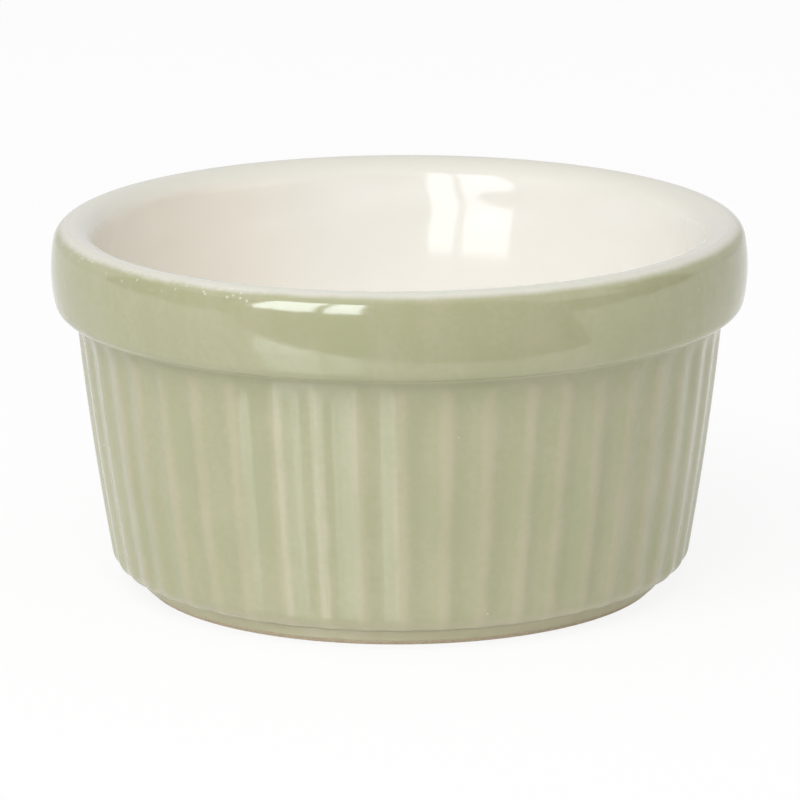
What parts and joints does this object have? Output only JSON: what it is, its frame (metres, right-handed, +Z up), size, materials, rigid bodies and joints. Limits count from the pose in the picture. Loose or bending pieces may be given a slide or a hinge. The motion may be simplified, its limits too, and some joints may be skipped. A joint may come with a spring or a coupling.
{
  "type": "ramekin",
  "caption": "Round fluted stoneware ramekin with a plain barrelled rim band and a low foot ring, sage green glaze outside and cream glaze inside.",
  "frame": {"origin": "centre of the foot ring's bare face, which stands on the table", "axes": "+Z up along the bowl's axis, -Y towards the viewer of the picture, where a ridge of the fluting faces straight ahead"},
  "size_m": [0.095, 0.095, 0.05],
  "materials": {
    "stoneware": "matte, bare where the foot ring's face was wiped clean",
    "cream_glaze": "gloss",
    "sage_glaze": "gloss, breaking to tan on the ridges"
  },
  "bodies": {
    "root": {"stoneware_body": "stoneware", "interior_glaze": "cream_glaze", "exterior_glaze": "sage_glaze", "base_glaze": "sage_glaze"}
  },
  "joints": []
}
